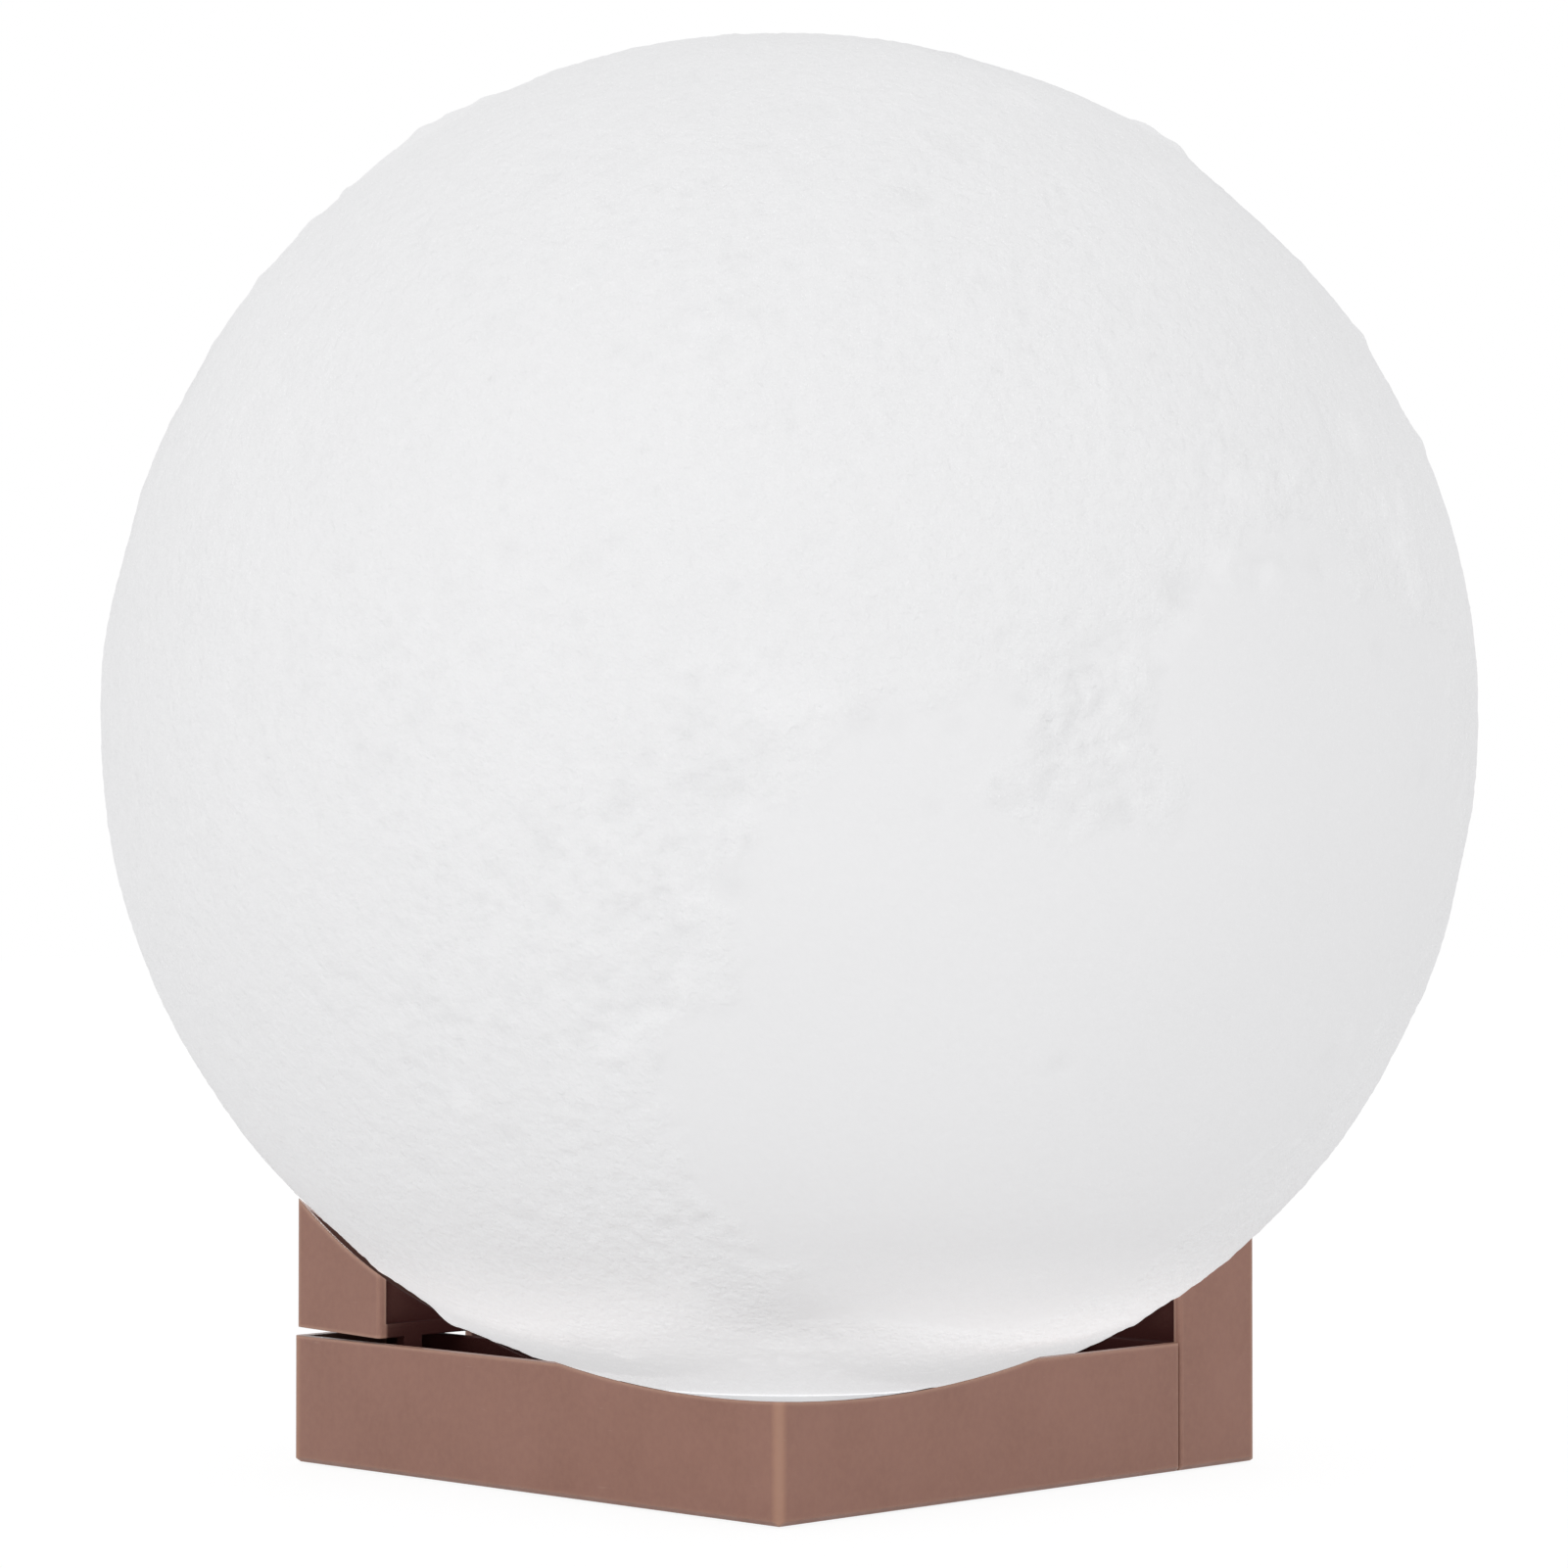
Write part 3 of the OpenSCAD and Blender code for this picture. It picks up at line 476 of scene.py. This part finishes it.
class Material:
    """A node material: a principled shader, and short calls for the nodes that feed it."""

    def __init__(self, name, **settings):
        self.material = bpy.data.materials.new(name)
        self.material.use_nodes = True
        self.tree = self.material.node_tree
        self.shader = self.tree.nodes["Principled BSDF"]
        self.normal = None
        for socket, value in settings.items():
            self.shader.inputs[socket.replace("_", " ")].default_value = value

    def node(self, kind, inputs=None, **settings):
        node = self.tree.nodes.new("ShaderNode" + kind)
        for key, value in settings.items():
            setattr(node, key, value)
        for key, value in (inputs or {}).items():
            self.put(node.inputs[key], value)
        return node

    def put(self, socket, value):
        if isinstance(value, bpy.types.NodeSocket):
            self.tree.links.new(value, socket)
        else:
            socket.default_value = value

    def place(self, stretch=(1, 1, 1)):
        """The point on the piece in mm, stretched along the axes."""
        place = self.node("TexCoord").outputs["Object"]
        scale = tuple(s / MM for s in stretch)
        return self.node("Mapping", {"Vector": place, "Scale": scale}).outputs["Vector"]

    def noise(self, size_mm, detail=3.0, stretch=(1, 1, 1), roughness=0.55):
        return self.node("TexNoise", {"Vector": self.place(stretch), "Scale": 1 / size_mm,
                                      "Detail": detail, "Roughness": roughness}).outputs["Fac"]

    def spread(self, value, low, high, to_low=0.0, to_high=1.0):
        return self.node("MapRange", {"Value": value, "From Min": low, "From Max": high,
                                      "To Min": to_low, "To Max": to_high}).outputs["Result"]

    def math(self, operation, a, b):
        return self.node("Math", {0: a, 1: b}, operation=operation).outputs[0]

    def mix(self, factor, colour_a, colour_b):
        node = self.node("Mix", data_type="RGBA")
        self.put(node.inputs["Factor"], factor)
        for name, colour in (("A", colour_a), ("B", colour_b)):
            socket = [s for s in node.inputs if s.name == name and s.type == "RGBA"][0]
            self.put(socket, colour)
        return [s for s in node.outputs if s.type == "RGBA"][0]

    def colour(self, value):
        self.put(self.shader.inputs["Base Color"], value)

    def roughness(self, value):
        self.put(self.shader.inputs["Roughness"], value)

    def soft_edges(self, radius_mm):
        """Rounds the look of sharp edges."""
        self.normal = self.node("Bevel", {"Radius": radius_mm * MM}, samples=6).outputs["Normal"]
        self.put(self.shader.inputs["Normal"], self.normal)

    def open_part(self, reach_mm, closed, open_at):
        """0 deep inside a hollow and 1 on an open face."""
        sky = self.node("AmbientOcclusion", {"Distance": reach_mm * MM}, samples=6)
        return self.spread(sky.outputs["AO"], closed, open_at)

    def painted_edge_highlight(self, tone, reach_mm):
        """The tone with a painted highlight, paler along each sharp edge."""
        flat = self.node("NewGeometry").outputs["Normal"]
        round_off = self.node("Bevel", {"Radius": reach_mm * MM}, samples=6).outputs["Normal"]
        same = self.node("VectorMath", {0: flat, 1: round_off}, operation="DOT_PRODUCT")
        # Painted highlight: the colour goes paler where the rounded normal turns from the flat
        # one.
        edge = self.spread(same.outputs["Value"], 0.99, 0.80, 0.0, 0.7)
        return self.mix(edge, tone, linear(196, 158, 138))

    def depth_in_stand(self):
        """How far a point lies inside the stand's square, and from an upright corner, in mm."""
        turn, c = -math.pi / 4, math.cos(math.pi / 4)
        square = self.node("Mapping", {
            "Vector": self.place(), "Rotation": (0, 0, turn),
            "Location": (STAND_SHIFT_MM * c, -STAND_SHIFT_MM * c, 0)}).outputs["Vector"]
        size = self.node("VectorMath", {0: square}, operation="ABSOLUTE").outputs["Vector"]
        parts = self.node("SeparateXYZ", {"Vector": size}).outputs
        far = self.math("MAXIMUM", parts["X"], parts["Y"])
        near = self.math("MINIMUM", parts["X"], parts["Y"])
        inward = self.math("SUBTRACT", STAND_HALF_MM, far)
        cornering = self.math("SUBTRACT", STAND_HALF_MM, near)
        return inward, cornering

    def glow_with_painted_fill(self, reach_mm, shaded, open_to_sky):
        """An even glow through a thin piece, with painted light added where other pieces keep the
        light off.
        """
        sky = self.node("AmbientOcclusion", {"Distance": reach_mm * MM}, samples=4)
        hidden = self.math("POWER", self.spread(sky.outputs["AO"], 0.25, 0.70, 1.0, 0.0), 1.35)
        self.put(self.shader.inputs["Emission Strength"],
                 self.spread(hidden, 0.0, 1.0, open_to_sky, shaded))

    def bump(self, height, depth_mm, strength=1.0):
        inputs = {"Height": height, "Distance": depth_mm * MM, "Strength": strength}
        if self.normal:
            inputs["Normal"] = self.normal
        self.normal = self.node("Bump", inputs).outputs["Normal"]
        self.put(self.shader.inputs["Normal"], self.normal)


def moon_plastic():
    """White printed plastic: a chalky grain, hollows painted a shade darker, and a glow from
    inside.

    The glow is partly the lamp's light through the thin hollow shell and partly painted light,
    which rises where the stand shades the shell and so evens out the stand's shade.
    """
    m = Material("moon_plastic", Roughness=0.72, Specular_IOR_Level=0.32, IOR=1.46,
                 Emission_Color=linear(237, 237, 238))
    # Glow: an even part, and painted light that rises where the stand shades the shell.
    m.glow_with_painted_fill(30, 0.77, 0.33)
    height = m.node("Attribute", attribute_name="relief").outputs["Fac"]
    plain = m.node("Attribute", attribute_name="plain").outputs["Fac"]
    # Painted shade: the hollows of the relief are coloured a shade darker.
    hollow = m.spread(height, -0.40, 0.20, 1.0, 0.0)
    tone = m.mix(hollow, linear(209, 209, 210), linear(199, 199, 200))
    speck = m.spread(m.noise(0.9, 3.0), 0.35, 0.65)
    tone = m.mix(m.math("MULTIPLY", speck, 0.30), tone, linear(202, 202, 203))
    m.colour(tone)
    m.roughness(m.spread(m.noise(1.1, 2.0), 0.3, 0.7, 0.64, 0.80))
    rough_part = m.spread(plain, 0.0, 1.0, 1.0, 0.30)
    m.bump(m.math("MULTIPLY", m.noise(1.3, 3.0), rough_part), 0.30, 0.8)
    m.bump(m.math("MULTIPLY", m.noise(0.6, 2.0), rough_part), 0.20, 0.9)
    return m.material


def stand_plastic():
    """Brown moulded plastic: satin and faintly mottled, with a painted highlight along the edges
    and upright corners, and a few scuffs.

    Inside the rails, where little light comes, it is painted darker and redder as shade, and less
    glossy.
    """
    m = Material("stand_plastic", Specular_IOR_Level=0.25, IOR=1.5)
    m.soft_edges(0.28)
    cloud = m.spread(m.noise(9.0, 3.0), 0.3, 0.7)
    speck = m.spread(m.noise(0.8, 2.0), 0.35, 0.65)
    tone = m.mix(cloud, linear(154, 114, 101), linear(147, 108, 95))
    tone = m.mix(m.math("MULTIPLY", speck, 0.35), tone, linear(162, 122, 106))
    scuff = m.spread(m.noise(1.6, 5.0, (0.25, 0.25, 2.5), 0.7), 0.66, 0.74)
    tone = m.mix(m.math("MULTIPLY", scuff, 0.30), tone, linear(190, 158, 146))
    inward, cornering = m.depth_in_stand()
    # Painted highlight: a paler tone within about a millimetre of each upright corner.
    tone = m.mix(m.spread(cornering, 1.2, 0.5, 0.0, 0.45), tone, linear(188, 146, 122))
    # Painted shade: inside the rails, where ambient occlusion is low, the colour goes to dark red.
    outer = m.spread(inward, 0.9, 1.3, 1.0, 0.0)
    lit = m.math("MAXIMUM", outer, m.open_part(18, 0.35, 1.0))
    m.colour(m.mix(lit, linear(54, 14, 10), m.painted_edge_highlight(tone, 0.9)))
    satin = m.spread(m.noise(2.4, 3.0), 0.3, 0.7, 0.34, 0.46)
    m.roughness(m.math("MAXIMUM", satin, m.spread(lit, 0.0, 1.0, 0.85, 0.3)))
    m.bump(m.noise(0.5, 2.0), 0.03, 0.5)
    m.bump(m.noise(7.0, 1.0), 0.05, 0.4)
    return m.material


def plain_plastic(name, colour, shade, roughness=0.5, edge_mm=0.2, grain_mm=0.6, glow=None):
    """Moulded plastic or rubber: clouded from colour to shade, with a fine grain."""
    m = Material(name, Specular_IOR_Level=0.4, Emission_Color=linear(*colour))
    # The glow is painted light: emission that rises where other parts shade the piece.
    if glow:
        m.glow_with_painted_fill(30, *glow)
    m.soft_edges(edge_mm)
    m.colour(m.mix(m.spread(m.noise(5.0, 3.0), 0.35, 0.65), linear(*colour), linear(*shade)))
    m.roughness(m.spread(m.noise(1.5), 0.3, 0.7, roughness - 0.06, roughness + 0.06))
    m.bump(m.noise(grain_mm, 2.0), 0.03, 0.4)
    return m.material


def bright_metal():
    """Brushed steel with fine scratches."""
    m = Material("bright_metal", Metallic=1.0)
    m.soft_edges(0.12)
    scratch = m.noise(0.9, 4.0, (0.15, 4.0, 1.0), 0.7)
    m.colour(m.mix(m.spread(scratch, 0.3, 0.7), linear(196, 198, 202), linear(168, 170, 175)))
    m.roughness(m.spread(scratch, 0.3, 0.7, 0.24, 0.40))
    m.bump(scratch, 0.01, 0.5)
    return m.material


def circuit_board(name, lacquer, track):
    """Lacquered board with rows of tracks that turn from cell to cell."""
    m = Material(name, Roughness=0.35, Specular_IOR_Level=0.5)
    cell = m.node("TexVoronoi", {"Vector": m.place(), "Scale": 0.22}, feature="F1",
                  distance="CHEBYCHEV")
    rings = m.math("FRACT", m.math("MULTIPLY", cell.outputs["Distance"], 4.0), 0.0)
    line = m.spread(rings, 0.46, 0.54)
    m.colour(m.mix(line, linear(*lacquer), linear(*track)))
    m.bump(line, 0.03, 0.6)
    return m.material


def clear_plastic():
    """Frosted clear plastic."""
    m = Material("clear_plastic", Roughness=0.35, Specular_IOR_Level=0.5)
    m.shader.inputs["Transmission Weight"].default_value = 0.35
    m.colour(m.mix(m.spread(m.noise(2.0), 0.3, 0.7), linear(232, 236, 240), linear(220, 225, 230)))
    m.bump(m.noise(0.4, 2.0), 0.02, 0.5)
    return m.material


def cell_wrap():
    """Shrink wrap: glossy, with faint creases all over it."""
    m = Material("cell_wrap", Specular_IOR_Level=0.5)
    cloud = m.spread(m.noise(12.0, 2.0), 0.3, 0.7)
    m.colour(m.mix(cloud, linear(54, 92, 150), linear(46, 80, 134)))
    m.roughness(m.spread(m.noise(3.0), 0.3, 0.7, 0.20, 0.34))
    m.bump(m.noise(2.2, 4.0, (1.0, 1.0, 0.3)), 0.12, 0.5)
    return m.material


MATERIALS = {
    "stand_plastic": stand_plastic(),
    "moon_plastic": moon_plastic(),
    "housing_plastic": plain_plastic("housing_plastic", (232, 233, 234), (225, 226, 228)),
    # The seal's glow is painted light against the shade under the moon.
    "seal_silicone": plain_plastic("seal_silicone", (228, 229, 230), (220, 221, 223), 0.4,
                                   glow=(0.50, 0.18)),
    "pad_foam": plain_plastic("pad_foam", (58, 58, 60), (44, 44, 46), 0.9, 0.1, 0.35),
    "bright_metal": bright_metal(),
    "board": circuit_board("board", (28, 92, 52), (58, 128, 78)),
    "led_board_white": circuit_board("led_board_white", (232, 233, 234), (208, 210, 213)),
    "black_plastic": plain_plastic("black_plastic", (34, 34, 36), (24, 24, 26), 0.45, 0.1),
    "ferrite": plain_plastic("ferrite", (62, 62, 65), (48, 48, 51), 0.6, 0.15),
    "plunger_red": plain_plastic("plunger_red", (168, 44, 36), (150, 36, 30), 0.45, 0.15),
    "clear_plastic": clear_plastic(),
    "led_yellow": plain_plastic("led_yellow", (240, 216, 110), (228, 202, 92), 0.3, 0.1),
    "cell_wrap": cell_wrap(),
    "lead_jacket": plain_plastic("lead_jacket", (176, 40, 34), (160, 34, 30), 0.4, 0.1),
}


def dress_nodes():
    for part in frame["record"]["subparts"]:
        piece = nodes[part["node"]]
        piece.data.materials.clear()
        piece.data.materials.append(MATERIALS[part["material_slot"]])


# ---------------------------------------------------------------- floor, backdrop and light
STUDIO_STRENGTH = 0.78
# Name, place, side of the square lamp in metres, and power in watts.
LIGHTS = [
    ("key", (-0.90, -0.75, 0.65), 0.7, 1.2),
    ("front", (0.0, -1.30, 0.10), 0.3, 2.6),
    ("back", (0.0, 1.30, 0.08), 0.3, 2.4),
]


def to_viewer(material, shader, seen_strength, share):
    """Shows a stage surface as white where a viewer, a gloss or a clear part sees it.

    A share of its own shading stays, so that it keeps the object's shadow.
    """
    tree = material.node_tree
    path = tree.nodes.new("ShaderNodeLightPath")
    glow = tree.nodes.new("ShaderNodeEmission")
    glow.inputs["Strength"].default_value = seen_strength
    seen = path.outputs["Is Camera Ray"]
    for name in ("Is Glossy Ray", "Is Transmission Ray"):
        larger = tree.nodes.new("ShaderNodeMath")
        larger.operation = "MAXIMUM"
        tree.links.new(seen, larger.inputs[0])
        tree.links.new(path.outputs[name], larger.inputs[1])
        seen = larger.outputs[0]
    factor = tree.nodes.new("ShaderNodeMath")
    factor.operation = "MULTIPLY"
    factor.inputs[1].default_value = share
    tree.links.new(seen, factor.inputs[0])
    mixed = tree.nodes.new("ShaderNodeMixShader")
    tree.links.new(factor.outputs[0], mixed.inputs["Fac"])
    tree.links.new(shader.outputs[0], mixed.inputs[1])
    tree.links.new(glow.outputs[0], mixed.inputs[2])
    tree.links.new(mixed.outputs[0], tree.nodes["Material Output"].inputs["Surface"])


def make_floor():
    half, drop = 3.0, 0.2 * MM
    mesh = bpy.data.meshes.new("floor")
    corners = [(-half, -half, 0), (half, -half, 0), (half, half, 0), (-half, half, 0)]
    mesh.from_pydata(corners, [], [(0, 1, 2, 3)])
    floor = bpy.data.objects.new("floor", mesh)
    floor.location.z = -drop
    bpy.context.scene.collection.objects.link(floor)
    m = Material("floor", Roughness=0.9)
    m.colour(linear(236, 236, 236))
    to_viewer(m.material, m.shader, seen_strength=1.06, share=0.86)
    mesh.materials.append(m.material)


def make_world():
    """Even studio light from all round, with plain white behind the object."""
    world = bpy.data.worlds.new("studio")
    bpy.context.scene.world = world
    world.use_nodes = True
    tree = world.node_tree
    soft = tree.nodes["Background"]
    soft.inputs["Color"].default_value = (1, 1, 1, 1)
    soft.inputs["Strength"].default_value = STUDIO_STRENGTH
    white = tree.nodes.new("ShaderNodeBackground")
    white.inputs["Strength"].default_value = 1.0
    white.inputs["Color"].default_value = (1, 1, 1, 1)
    path = tree.nodes.new("ShaderNodeLightPath")
    mixed = tree.nodes.new("ShaderNodeMixShader")
    tree.links.new(path.outputs["Is Camera Ray"], mixed.inputs["Fac"])
    tree.links.new(soft.outputs[0], mixed.inputs[1])
    tree.links.new(white.outputs[0], mixed.inputs[2])
    tree.links.new(mixed.outputs[0], tree.nodes["World Output"].inputs["Surface"])


def make_light(name, place, size, power):
    data = bpy.data.lights.new(name, "AREA")
    data.shape = "SQUARE"
    data.size = size
    data.energy = power
    light = bpy.data.objects.new(name, data)
    light.location = place
    light.rotation_euler = (MOON_C - Vector(place)).to_track_quat("-Z", "Y").to_euler()
    bpy.context.scene.collection.objects.link(light)


moon = build_moon()
moon.data.materials.append(MATERIALS["moon_plastic"])
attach(moon, "moon")
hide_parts("moon_shade")
dress_nodes()
make_floor()
make_world()
for light in LIGHTS:
    make_light(*light)
bpy.context.scene.view_settings.view_transform = "Standard"
